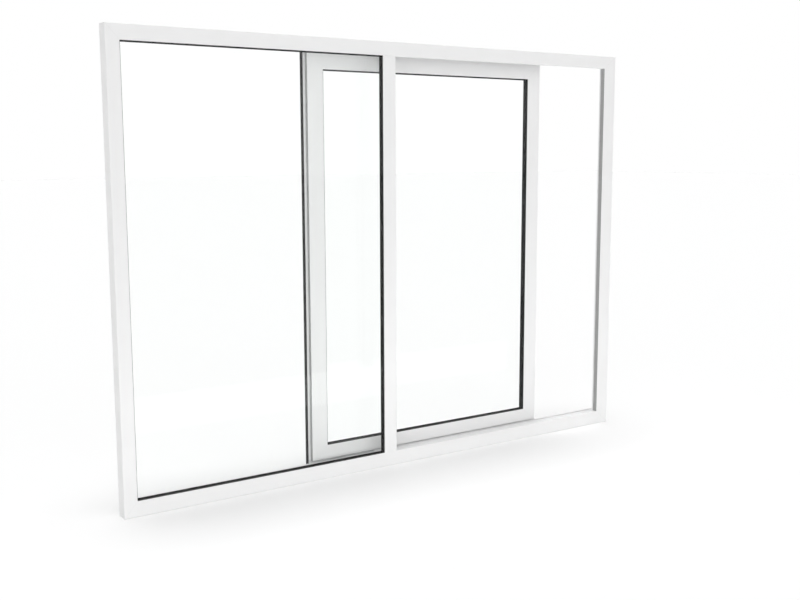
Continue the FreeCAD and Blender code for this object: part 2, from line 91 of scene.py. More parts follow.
class Paint:
    """The node tree of one material or world, with short ways to add to it."""

    def __init__(self, owner: bpy.types.Material | bpy.types.World) -> None:
        """Start from an empty tree.

        Args:
            owner: Material or world that the nodes belong to.
        """
        self.owner = owner
        owner.use_nodes = True
        self.tree = owner.node_tree
        self.tree.nodes.clear()

    @classmethod
    def for_material(cls, name: str) -> "Paint":
        """Paint of a new material."""
        return cls(bpy.data.materials.new(name))

    def node(
        self,
        kind: str,
        settings: dict[str, Any] | None = None,
        inputs: dict[str | int, Any] | None = None,
    ) -> bpy.types.Node:
        """Add one node.

        Args:
            kind: Node type without its ShaderNode prefix.
            settings: Attributes of the node; "stops" fills a colour ramp.
            inputs: Values or signals by socket name or number.

        Returns:
            The new node.
        """
        made = self.tree.nodes.new(f"ShaderNode{kind}")
        for key, value in (settings or {}).items():
            if key == "stops":
                ramp = made.color_ramp
                while len(ramp.elements) < len(value):
                    ramp.elements.new(0.5)
                for stop, (place, shade) in zip(ramp.elements, value):
                    stop.position = place
                    stop.color = (shade, shade, shade, 1.0)
            else:
                setattr(made, key, value)
        for key, value in (inputs or {}).items():
            if isinstance(value, Signal):
                self.tree.links.new(value.socket, made.inputs[key])
            elif isinstance(value, tuple) and made.inputs[key].type == "RGBA":
                made.inputs[key].default_value = (*value, 1.0)
            else:
                made.inputs[key].default_value = value
        return made

    def out(self, made: bpy.types.Node, name: str | int = 0) -> Signal:
        """One output of a node as a signal."""
        return Signal(self, made.outputs[name])

    def maths(
        self,
        operation: str,
        first: "Signal | float",
        second: "Signal | float",
    ) -> Signal:
        """Two numbers joined by a Math node."""
        made = self.node("Math", {"operation": operation}, {0: first, 1: second})
        return self.out(made)

    def place(self, stretch: Point = (1.0, 1.0, 1.0)) -> Signal:
        """Object coordinates, stretched.

        Args:
            stretch: Factor along each axis.

        Returns:
            The coordinates as a signal.
        """
        source = self.out(self.node("TexCoord"), "Object")
        return self.out(self.node("Mapping", None, {"Vector": source, "Scale": stretch}))

    def noise(self, scale: float, detail: float, stretch: Point = (1.0, 1.0, 1.0)) -> Signal:
        """Soft random pattern from 0 to 1.

        Args:
            scale: Number of spots in a metre.
            detail: Levels of finer pattern.
            stretch: Factor along each axis.

        Returns:
            The pattern as a signal.
        """
        inputs = {"Vector": self.place(stretch), "Scale": scale, "Detail": detail}
        return self.out(self.node("TexNoise", None, inputs), "Fac")

    def ramp(self, value: Signal, stops: Sequence[Flat]) -> Signal:
        """A value passed through a ramp of grey stops."""
        return self.out(self.node("ValToRGB", {"stops": stops}, {"Fac": value}))

    def blend(self, share: "Signal | float", first: Colour, second: Colour) -> Signal:
        """Two colours mixed by a share."""
        inputs = {0: share, 6: first, 7: second}
        return self.out(self.node("Mix", {"data_type": "RGBA"}, inputs), 2)

    def bump(self, height: Signal, strength: float, distance: float) -> Signal:
        """Surface normal from a height pattern."""
        inputs = {"Height": height, "Strength": strength, "Distance": distance}
        return self.out(self.node("Bump", None, inputs), "Normal")

    def seen_directly(self) -> Signal:
        """1 for what the camera, a reflection or clear glass shows, else 0.

        Returns:
            The test as a signal.
        """
        rays = self.node("LightPath")
        camera, glossy = self.out(rays, "Is Camera Ray"), self.out(rays, "Is Glossy Ray")
        mirror = self.maths("MAXIMUM", camera, glossy)
        return self.maths("MAXIMUM", mirror, self.out(rays, "Is Transmission Ray"))

    def close(self, surface: Signal) -> bpy.types.Material:
        """Join the last shader to the output and give the material back."""
        self.node("OutputMaterial", None, {"Surface": surface})
        return self.owner


@dataclass(frozen=True)
class ProfileFinish:
    """Smooth extruded plastic with faint draw lines and a soft sheen."""

    name: str
    tint: Colour
    roughness: float = 0.34
    mottle: float = 0.012
    lines: float = 0.05
    line_depth: float = 0.0002
    cloud_scale: float = 2.5
    cloud_detail: float = 3.0
    cloud_spread: float = 0.08
    grain_scale: float = 650.0
    grain_detail: float = 2.0
    grain_spread: float = 0.05
    coat: float = 0.05
    coat_roughness: float = 0.25
    index: float = 1.5

    def make(self) -> bpy.types.Material:
        """Build the finish.

        Returns:
            Its material.
        """
        paint = Paint.for_material(self.name)
        cloud = paint.noise(self.cloud_scale, self.cloud_detail)
        grain = paint.noise(self.grain_scale, self.grain_detail)
        lower = tuple(part * (1.0 - self.mottle) for part in self.tint)
        principled = paint.node(
            "BsdfPrincipled",
            None,
            {
                "Base Color": paint.blend(cloud, lower, self.tint),
                "Roughness": self.roughness
                + self.cloud_spread * cloud
                + self.grain_spread * grain,
                "Coat Weight": self.coat + self.coat * cloud,
                "Normal": paint.bump(grain, self.lines, self.line_depth),
            },
        )
        principled.inputs["IOR"].default_value = self.index
        principled.inputs["Coat Roughness"].default_value = self.coat_roughness
        return paint.close(paint.out(principled))


@dataclass(frozen=True)
class SealFinish:
    """Matt rubber with a fine moulded grain."""

    name: str
    tint: Colour
    roughness: float = 0.62
    index: float = 1.48
    grain_scale: float = 900.0
    grain_detail: float = 3.0
    grain_spread: float = 0.15
    grain_strength: float = 0.12
    grain_depth: float = 0.0003
    wear_scale: float = 14.0
    wear_detail: float = 4.0
    wear_gain: float = 1.15
    wear_lift: float = 0.001

    def make(self) -> bpy.types.Material:
        """Build the finish.

        Returns:
            Its material.
        """
        paint = Paint.for_material(self.name)
        grain = paint.noise(self.grain_scale, self.grain_detail)
        worn = paint.noise(self.wear_scale, self.wear_detail)
        lighter = tuple(part * self.wear_gain + self.wear_lift for part in self.tint)
        principled = paint.node(
            "BsdfPrincipled",
            None,
            {
                "Base Color": paint.blend(worn, self.tint, lighter),
                "Roughness": self.roughness + self.grain_spread * grain,
                "Normal": paint.bump(grain, self.grain_strength, self.grain_depth),
            },
        )
        principled.inputs["IOR"].default_value = self.index
        return paint.close(paint.out(principled))


@dataclass(frozen=True)
class MetalFinish:
    """Drawn or plated metal with streaks along its length."""

    name: str
    tint: Colour
    roughness: float = 0.3
    along: Point = (1.0, 90.0, 90.0)
    streak_scale: float = 9.0
    streak_detail: float = 4.0
    streak_spread: float = 0.14
    streak_strength: float = 0.12
    streak_depth: float = 0.0002
    cloud_scale: float = 7.0
    cloud_detail: float = 3.0
    cloud_shade: float = 0.9

    def make(self) -> bpy.types.Material:
        """Build the finish.

        Returns:
            Its material.
        """
        paint = Paint.for_material(self.name)
        streak = paint.noise(self.streak_scale, self.streak_detail, self.along)
        cloud = paint.noise(self.cloud_scale, self.cloud_detail)
        darker = tuple(part * self.cloud_shade for part in self.tint)
        principled = paint.node(
            "BsdfPrincipled",
            None,
            {
                "Base Color": paint.blend(cloud, darker, self.tint),
                "Metallic": 1.0,
                "Roughness": self.roughness + self.streak_spread * streak,
                "Normal": paint.bump(streak, self.streak_strength, self.streak_depth),
            },
        )
        return paint.close(paint.out(principled))


@dataclass(frozen=True)
class GlassFinish:
    """Clear pane: light goes straight through, the sheen grows at a low angle."""

    name: str
    tint: Colour
    mirror_tint: Colour = (0.95, 0.97, 0.96)
    sheen: float = 0.3
    head_on: float = 0.02
    slope_power: float = 4.0
    polish: float = 0.02
    smear_scale: float = 3.0
    smear_detail: float = 4.0
    smear_stops: tuple[Flat, ...] = ((0.45, 0.0), (0.8, 1.0))
    smear_spread: float = 0.05
    smear_share: float = 0.004

    def make(self) -> bpy.types.Material:
        """Build the finish; steep light meets the whole slope, so the pane shades the floor.

        Returns:
            Its material.
        """
        paint = Paint.for_material(self.name)
        smear = paint.ramp(paint.noise(self.smear_scale, self.smear_detail), self.smear_stops)
        facing = paint.out(paint.node("LayerWeight", None, {"Blend": 0.5}), "Facing")
        rising = paint.maths("POWER", facing, self.slope_power)
        slope = self.head_on + (1.0 - self.head_on) * rising
        clear = paint.out(paint.node("BsdfTransparent", None, {"Color": self.tint}))
        shine = paint.node(
            "BsdfPrincipled",
            None,
            {
                "Base Color": self.mirror_tint,
                "Metallic": 1.0,
                "Roughness": self.polish + self.smear_spread * smear,
            },
        )
        rays = paint.node("LightPath")
        strength = self.sheen + (1.0 - self.sheen) * paint.out(rays, "Is Shadow Ray")
        unlit = 1 - paint.out(rays, "Is Diffuse Ray")
        share = (slope * strength + smear * self.smear_share) * unlit
        mix = paint.node("MixShader", None, {0: share, 1: clear, 2: paint.out(shine)})
        return paint.close(paint.out(mix))


@dataclass(frozen=True)
class FloorFinish:
    """Pale floor that keeps the shadow and meets a white backdrop."""

    name: str = "pale_floor"
    tint: Colour = (0.88, 0.88, 0.88)
    lift: float = 0.077

    def make(self) -> bpy.types.Material:
        """Build the finish.

        Returns:
            Its material.
        """
        paint = Paint.for_material(self.name)
        cloth = paint.out(paint.node("BsdfDiffuse", None, {"Color": self.tint}))
        lift = {"Color": (1.0, 1.0, 1.0), "Strength": paint.seen_directly() * self.lift}
        glow = paint.out(paint.node("Emission", None, lift))
        both = paint.out(paint.node("AddShader", None, {0: cloth, 1: glow}))
        return paint.close(both)


class FinishName(Enum):
    """The finishes of the door."""

    WHITE = "white_frame"
    HANDLE = "white_handle"
    GLASS = "clear_glass"
    BLACK = "black_seal"
    RAIL = "rail_metal"
    STEEL = "housing_metal"
    NYLON = "grey_nylon"
    # Grey for strips that paint the shade on left-facing faces
    PAINTED_SHADE = "grey_seal"
    PILE = "pale_pile"
    SEAM = "weld_seam"


FINISHES = {
    FinishName.WHITE: ProfileFinish("white_frame", (0.91, 0.91, 0.91)),
    FinishName.HANDLE: ProfileFinish(
        "white_handle", (0.86, 0.86, 0.86), roughness=0.42, lines=0.12
    ),
    FinishName.GLASS: GlassFinish("clear_glass", (0.998, 1.0, 0.999)),
    FinishName.BLACK: SealFinish("black_seal", (0.01, 0.01, 0.01), index=1.33),
    FinishName.RAIL: MetalFinish("rail_metal", (0.8, 0.81, 0.82)),
    FinishName.STEEL: MetalFinish("housing_metal", (0.62, 0.63, 0.64), 0.24, (1.0, 1.0, 1.0)),
    FinishName.NYLON: SealFinish("grey_nylon", (0.16, 0.165, 0.17), 0.45),
    # This grey is painted shade on the left-facing strips, not the colour of a seal
    FinishName.PAINTED_SHADE: SealFinish("grey_seal", (0.36, 0.36, 0.36), 0.5),
    FinishName.PILE: ProfileFinish(
        "pale_pile", (0.9, 0.9, 0.9), roughness=0.8, mottle=0.05, lines=0.2
    ),
    FinishName.SEAM: ProfileFinish(
        "weld_seam", (0.72, 0.72, 0.72), roughness=0.5, mottle=0.05
    ),
}


@dataclass
class Palette:
    """All materials, made once."""

    made: dict[str, bpy.types.Material] = field(default_factory=dict)

    def __post_init__(self) -> None:
        """Make every finish."""
        for name, finish in FINISHES.items():
            self.made[name.value] = finish.make()

    def dress(self, thing: bpy.types.Object, name: str) -> None:
        """Give an object one finish and drop what it had."""
        thing.data.materials.clear()
        thing.data.materials.append(self.made[name])


class Workshop:
    def __init__(self, palette: Palette) -> None:
        """Keep the materials.

        Args:
            palette: Materials of the door.
        """
        self.palette = palette

    def keep(
        self,
        name: str,
        mesh: bpy.types.Mesh,
        finish: FinishName,
        side: Side,
    ) -> bpy.types.Object:
        """Turn a mesh into a piece that rides on one side.

        Args:
            name: Name of the piece.
            mesh: Mesh in metres, in the door's own place.
            finish: Finish of the piece.
            side: What the piece moves with.

        Returns:
            The new object.
        """
        mesh.name = name
        thing = bpy.data.objects.new(name, mesh)
        bpy.context.scene.collection.objects.link(thing)
        self.palette.dress(thing, finish.value)
        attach(thing, side.value)
        LOG.info("piece %s: %d faces, rides on %s", name, len(mesh.polygons), side.value)
        return thing


def solid_mesh(points: Sequence[Point], faces: Sequence[Sequence[int]]) -> bpy.types.Mesh:
    """Closed mesh whose faces point outwards.

    Args:
        points: Corners in metres.
        faces: Corner numbers of each face.

    Returns:
        The mesh.
    """
    mesh = bpy.data.meshes.new("solid")
    mesh.from_pydata(points, [], faces)
    form = bmesh.new()
    form.from_mesh(mesh)
    bmesh.ops.remove_doubles(form, verts=form.verts, dist=WELD_GAP)
    bmesh.ops.recalc_face_normals(form, faces=form.faces)
    form.to_mesh(mesh)
    form.free()
    return mesh


def ring_mesh(
    opening: tuple[float, float, float, float],
    section: Sequence[Flat],
) -> bpy.types.Mesh:
    """Closed section swept round a rectangle, with mitred corners.

    Args:
        opening: Left, low, right and high line of the rectangle.
        section: Corners of the section as inset from the rectangle and depth.

    Returns:
        The mesh.
    """
    left, low, right, high = opening
    corners = [(left, low, 1, 1), (right, low, -1, 1), (right, high, -1, -1), (left, high, 1, -1)]
    count = len(section)
    points = [
        (x + inset * across, depth, z + inset * upward)
        for x, z, across, upward in corners
        for inset, depth in section
    ]
    faces = []
    for corner in range(4):
        here, there = corner * count, (corner + 1) % 4 * count
        for index in range(count):
            after = (index + 1) % count
            faces.append((here + index, here + after, there + after, there + index))
    return solid_mesh(points, faces)


def bar_mesh(section: Sequence[Point], run: Point) -> bpy.types.Mesh:
    """Closed section pushed along a straight run.

    Args:
        section: Corners of the section in metres.
        run: Vector from one end to the other.

    Returns:
        The mesh.
    """
    count = len(section)
    step = Vector(run)
    points = [tuple(point) for point in section]
    points += [tuple(Vector(point) + step) for point in section]
    faces = [tuple(range(count)), tuple(range(2 * count - 1, count - 1, -1))]
    for index in range(count):
        after = (index + 1) % count
        faces.append((index, after, count + after, count + index))
    return solid_mesh(points, faces)


def joined_mesh(parts: Sequence[bpy.types.Mesh]) -> bpy.types.Mesh:
    """Several meshes as one.

    Args:
        parts: Meshes to join.

    Returns:
        The mesh.
    """
    form = bmesh.new()
    for part in parts:
        form.from_mesh(part)
    mesh = bpy.data.meshes.new("joined")
    form.to_mesh(mesh)
    form.free()
    return mesh


@dataclass
class PatternRow:
    """A straight row of one repeated shape, laid out by Geometry Nodes."""

    name: str
    start: Point
    step: Point
    count: int
    side: Side
    finish: FinishName
    sway: float = 0.0
    seed: int = 7

    def pattern_mesh(self) -> bpy.types.Mesh:
        """The shape that the row repeats, around its own origin."""
        raise NotImplementedError

    def tree(self) -> bpy.types.NodeTree:
        """Node tree that sets one shape on each point of a line.

        Returns:
            The tree, with its values as named inputs.
        """
        tree = bpy.data.node_groups.new(f"{self.name}_row", "GeometryNodeTree")
        face = tree.interface
        face.new_socket("Geometry", in_out="OUTPUT", socket_type="NodeSocketGeometry")
        for label, kind in (
            ("Geometry", "NodeSocketGeometry"),
            ("Count", "NodeSocketInt"),
            ("Start", "NodeSocketVector"),
            ("Step", "NodeSocketVector"),
            ("Least Sway", "NodeSocketVector"),
            ("Most Sway", "NodeSocketVector"),
            ("Seed", "NodeSocketInt"),
            ("Shape", "NodeSocketObject"),
            ("Finish", "NodeSocketMaterial"),
        ):
            face.new_socket(label, in_out="INPUT", socket_type=kind)
        given = tree.nodes.new("NodeGroupInput")
        line = tree.nodes.new("GeometryNodeMeshLine")
        info = tree.nodes.new("GeometryNodeObjectInfo")
        sway = tree.nodes.new("FunctionNodeRandomValue")
        sway.data_type = "FLOAT_VECTOR"
        spread = tree.nodes.new("GeometryNodeInstanceOnPoints")
        real = tree.nodes.new("GeometryNodeRealizeInstances")
        dressed = tree.nodes.new("GeometryNodeSetMaterial")
        result = tree.nodes.new("NodeGroupOutput")
        for source, label, target, entry in (
            (given, "Count", line, "Count"),
            (given, "Start", line, "Start Location"),
            (given, "Step", line, "Offset"),
            (given, "Least Sway", sway, "Min"),
            (given, "Most Sway", sway, "Max"),
            (given, "Seed", sway, "Seed"),
            (given, "Shape", info, "Object"),
            (line, "Mesh", spread, "Points"),
            (info, "Geometry", spread, "Instance"),
            (sway, "Value", spread, "Rotation"),
            (spread, "Instances", real, "Geometry"),
            (real, "Geometry", dressed, "Geometry"),
            (given, "Finish", dressed, "Material"),
            (dressed, "Geometry", result, "Geometry"),
        ):
            tree.links.new(source.outputs[label], target.inputs[entry])
        return tree

    def build(self, shop: Workshop) -> None:
        """Lay out the row and keep it as one plain mesh.

        Args:
            shop: Maker of pieces.
        """
        pattern = bpy.data.objects.new(f"{self.name}_pattern", self.pattern_mesh())
        holder = bpy.data.objects.new(f"{self.name}_holder", bpy.data.meshes.new("empty"))
        for thing in (pattern, holder):
            bpy.context.scene.collection.objects.link(thing)
        tree = self.tree()
        modifier = holder.modifiers.new("row", "NODES")
        modifier.node_group = tree
        values = {
            "Count": self.count,
            "Start": self.start,
            "Step": self.step,
            "Least Sway": (-self.sway, -self.sway, 0.0),
            "Most Sway": (self.sway, self.sway, 0.0),
            "Seed": self.seed,
            "Shape": pattern,
            "Finish": shop.palette.made[self.finish.value],
        }
        for item in tree.interface.items_tree:
            if item.in_out == "INPUT" and item.name in values:
                modifier[item.identifier] = values[item.name]
        graph = bpy.context.evaluated_depsgraph_get()
        mesh = bpy.data.meshes.new_from_object(holder.evaluated_get(graph), depsgraph=graph)
        holder.modifiers.remove(modifier)
        bpy.data.objects.remove(holder)
        bpy.data.objects.remove(pattern)
        shop.keep(self.name, mesh, self.finish, self.side)


@dataclass
class ScrewRow(PatternRow):
    """A row of equal pan head screws."""

    finish: FinishName = FinishName.STEEL
    radius: float = 0.0036
    rise: float = 0.0019
    let_in: float = 0.0004
    lobe: float = 0.12
    lobes: int = 6
    turns: int = 24
    head: tuple[Flat, ...] = ((1.0, 0.35), (0.86, 0.8), (0.6, 1.0))
    recess: tuple[Flat, ...] = ((0.36, 1.0), (0.34, 0.3))

    def pattern_mesh(self) -> bpy.types.Mesh:
        """One pan head with a lobed recess, its top towards +Y.

        Returns:
            The mesh.
        """
        rings = [(self.radius, -self.let_in, 0.0)]
        for shares, lobe in ((self.head, 0.0), (self.recess, self.lobe)):
            rings += [(self.radius * reach, self.rise * rise, lobe) for reach, rise in shares]
        points: list[Point] = []
        for radius, height, lobe in rings:
            for index in range(self.turns):
                angle = 2 * math.pi * index / self.turns
                reach = radius * (1 + lobe * math.cos(self.lobes * angle))
                points.append((reach * math.cos(angle), height, reach * math.sin(angle)))
        faces: list[Sequence[int]] = [tuple(range(self.turns))]
        for ring in range(len(rings) - 1):
            for index in range(self.turns):
                after = (index + 1) % self.turns
                low, high = ring * self.turns, (ring + 1) * self.turns
                faces.append((low + index, low + after, high + after, high + index))
        last = (len(rings) - 1) * self.turns
        faces.append(tuple(range(last, last + self.turns)))
        return solid_mesh(points, faces)


@dataclass
class PileRow(PatternRow):
    """A row of soft pile tufts that lean a little at random."""

    finish: FinishName = FinishName.PILE
    sway: float = 0.05
    height: float = 0.0072
    width: float = 0.0013
    depth: float = 0.0016
    shoulder: float = 0.7
    tip: float = 0.55

    def pattern_mesh(self) -> bpy.types.Mesh:
        """One tuft that narrows towards its tip, standing along Z.

        Returns:
            The mesh.
        """
        levels = [(0.0, 1.0), (self.height * self.shoulder, 1.0), (self.height, self.tip)]
        points: list[Point] = []
        for level, share in levels:
            across, along = self.width / 2 * share, self.depth / 2 * share
            points += [(-across, -along, level), (across, -along, level)]
            points += [(across, along, level), (-across, along, level)]
        faces: list[Sequence[int]] = [(0, 1, 2, 3), (8, 9, 10, 11)]
        for base in (0, 4):
            for index in range(4):
                after = (index + 1) % 4
                faces.append((base + index, base + after, base + 4 + after, base + 4 + index))
        return solid_mesh(points, faces)


@dataclass
class ThresholdBrush:
    """Pale pile seal on the inner sill, close in front of the sash's foot."""

    pitch: float = 0.0011
    set_forward: float = 0.0028
    foot_width: float = 0.0046
    foot_height: float = 0.0014
    shoulder: float = 0.6
    let_in: float = 0.0003
    pile_seat: float = 0.8
    end_gap: float = 0.004

    def build(self, shop: Workshop) -> None:
        """Make the carrier strip and the pile along the doorway.

        Args:
            shop: Maker of pieces.
        """
        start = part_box("mullion")[0][0]
        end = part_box("inner_sill")[1][0] - self.end_gap
        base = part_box("inner_sill")[1][2]
        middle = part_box("sash_bottom_rail")[0][1] - self.set_forward
        half = self.foot_width / 2
        section = [
            (start, middle - half, base - self.let_in),
            (start, middle - half, base + self.foot_height * self.shoulder),
            (start, middle - half * 0.5, base + self.foot_height),
            (start, middle + half * 0.5, base + self.foot_height),
            (start, middle + half, base + self.foot_height * self.shoulder),
            (start, middle + half, base - self.let_in),
        ]
        foot = bar_mesh(section, (end - start, 0.0, 0.0))
        shop.keep("threshold_brush_foot", foot, FinishName.WHITE, Side.FRAME)
        count = int((end - start) / self.pitch) - 1
        first = (start + self.pitch, middle, base + self.foot_height * self.pile_seat)
        step = (self.pitch, 0.0, 0.0)
        PileRow("threshold_brush_pile", first, step, count, Side.FRAME).build(shop)


@dataclass(frozen=True)
class Rectangle:
    """A rectangle given by its four lines."""

    left: float
    low: float
    right: float
    high: float

    @classmethod
    def of(cls, node: str) -> "Rectangle":
        """Outline of a node seen from the front."""
        low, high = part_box(node)
        return cls(low[0], low[2], high[0], high[2])

    def corners(self) -> list[Flat]:
        """The four corners, in order."""
        sides = (self.left, self.right, self.right, self.left)
        return list(zip(sides, (self.low, self.low, self.high, self.high)))


@dataclass
class MitreSeams:
    """Fine weld lines across the mitred corners of the frame and of the sash."""

    width: float = 0.0007
    crest_share: float = 0.4
    proud: float = 0.00012
    let_in: float = 0.0003
    margin: float = 0.002

    def seam(self, outer: Flat, inner: Flat, face: float, out: int) -> bpy.types.Mesh:
        """Low ridge on one corner of one face.

        Args:
            outer: Outer corner of the face along X and Z.
            inner: Inner corner of the face along X and Z.
            face: Depth of the face.
            out: Direction of the face along Y, 1 or -1.

        Returns:
            The mesh.
        """
        start = Vector((outer[0], 0.0, outer[1]))
        way = Vector((inner[0], 0.0, inner[1])) - start
        along = way.normalized()
        across = Vector((-along.z, 0.0, along.x)) * self.width / 2
        foot = Vector((0.0, face - out * self.let_in, 0.0))
        crest = Vector((0.0, face + out * self.proud, 0.0))
        begin = start + along * self.margin
        section = [
            tuple(begin + across + foot),
            tuple(begin + across * self.crest_share + crest),
            tuple(begin - across * self.crest_share + crest),
            tuple(begin - across + foot),
        ]
        return bar_mesh(section, tuple(way - along * 2 * self.margin))

    def seams(self, outer: Rectangle, inner: Rectangle, face: float, out: int) -> bpy.types.Mesh:
        """Ridges on all four corners of one face."""
        pairs = zip(outer.corners(), inner.corners())
        return joined_mesh([self.seam(here, there, face, out) for here, there in pairs])

    def build(self, shop: Workshop) -> None:
        """Make the seams on both faces of the frame and of the sash.

        Args:
            shop: Maker of pieces.
        """
        left, right = Rectangle.of("left_jamb"), Rectangle.of("right_jamb")
        head, sill = Rectangle.of("head"), Rectangle.of("sill")
        frame_face, frame_back = (corner[1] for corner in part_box("head"))
        whole = Rectangle(left.left, sill.low, right.right, head.high)
        opening = Rectangle(left.right, sill.high, right.left, head.low)
        bead = Rectangle.of("fixed_bead_left")
        rebate_right = right.left + bead.high - head.low
        rebate = Rectangle(bead.left, bead.low, rebate_right, bead.high)
        stile = Rectangle.of("sash_left_stile")
        lap = Rectangle(stile.left, stile.low, Rectangle.of("sash_right_stile").right, stile.high)
        face = Rectangle(
            lap.left + SASH_LAP,
            lap.low + SASH_FOOT_LAP,
            lap.right - SASH_LAP,
            lap.high - SASH_LAP,
        )
        seat = Rectangle(
            Rectangle.of("sash_bead_left").left,
            Rectangle.of("sash_bead_bottom").low,
            Rectangle.of("sash_bead_right").right,
            Rectangle.of("sash_bead_top").high,
        )
        seal = Rectangle.of("sash_edge_seal")
        sash_front, sash_back = (corner[1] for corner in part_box("sash_left_stile"))
        for name, outer, inner, place, out, side in (
            ("frame_front_seams", whole, opening, frame_face, -1, Side.FRAME),
            ("frame_back_seams", whole, rebate, frame_back, 1, Side.FRAME),
            ("sash_front_seams", face, seal, sash_front, -1, Side.SASH),
            ("sash_back_seams", lap, seat, sash_back, 1, Side.SASH),
        ):
            shop.keep(name, self.seams(outer, inner, place, out), FinishName.SEAM, side)


@dataclass
class GlazingTrim:
    """Rubber wedges between the glass and the beads on the room side."""

    width: float = 0.004
    rise: float = 0.0034
    let_in: float = 0.0004
    crown: tuple[Flat, ...] = ((0.95, 0.25), (0.7, 0.65), (0.4, 0.92), (0.0, 1.0))

    def wedge(self, pane: str) -> bpy.types.Mesh:
        """Rounded wedge round the room side of a pane.

        Args:
            pane: Node of the pane.

        Returns:
            The mesh.
        """
        low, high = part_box(pane)
        base = high[1]
        section = [(0.0, base - self.let_in), (self.width, base - self.let_in)]
        section += [(self.width * reach, base + self.rise * rise) for reach, rise in self.crown]
        return ring_mesh((low[0], low[2], high[0], high[2]), section)

    def build(self, shop: Workshop) -> None:
        """Make the wedges of the fixed glass and of the sash.

        Args:
            shop: Maker of pieces.
        """
        for name, pane, side in (
            ("fixed_glazing_wedge", "fixed_inner_pane", Side.FRAME),
            ("sash_glazing_wedge", "sash_inner_pane", Side.SASH),
        ):
            shop.keep(name, self.wedge(pane), FinishName.BLACK, side)


@dataclass
class PaintedShadeStrips:
    """Grey strips on the left-facing faces of the closing jamb and of the sash's edge; their grey
    is painted shade on those faces.
    """

    thickness: float = 0.0012
    margin: float = 0.0016
    rounding: float = 0.0012
    shoulder_share: float = 0.4
    let_in: float = 0.0003

    def strip(
        self,
        edge: float,
        front: float,
        back: float,
        low: float,
        high: float,
    ) -> bpy.types.Mesh:
        """Flat strip with eased long edges on an upright face that looks towards -X.

        Args:
            edge: Place of the face along X.
            front: Outer side of the strip.
            back: Room side of the strip.
            low: Lower end.
            high: Upper end.

        Returns:
            The mesh.
        """
        root = edge + self.let_in
        crown = edge - self.thickness
        shoulder = crown + self.thickness * self.shoulder_share
        section = [
            (root, front, low),
            (shoulder, front, low),
            (crown, front + self.rounding, low),
            (crown, back - self.rounding, low),
            (shoulder, back, low),
            (root, back, low),
        ]
        return bar_mesh(section, (0.0, 0.0, high - low))

    def build(self, shop: Workshop) -> None:
        """Lay both strips of painted shade.

        Args:
            shop: Maker of pieces.
        """
        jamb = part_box("right_jamb")[0]
        lip_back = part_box("doorway_seal")[0][1]
        sill_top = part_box("sill")[1][2]
        head_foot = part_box("head")[0][2]
        # Painted shade over the closing jamb's left-facing reveal
        mesh = self.strip(jamb[0], jamb[1] + self.margin, lip_back, sill_top, head_foot)
        shop.keep("closing_jamb_strip", mesh, FinishName.PAINTED_SHADE, Side.FRAME)
        # Painted shade over the left-facing edge of the sash
        low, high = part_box("sash_left_stile")
        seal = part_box("meeting_seal")[0]
        mesh = self.strip(
            low[0] + SASH_LAP,
            low[1] + self.margin,
            seal[1],
            seal[2] + SASH_FOOT_LAP,
            high[2] - SASH_LAP,
        )
        shop.keep("sash_edge_strip", mesh, FinishName.PAINTED_SHADE, Side.SASH)


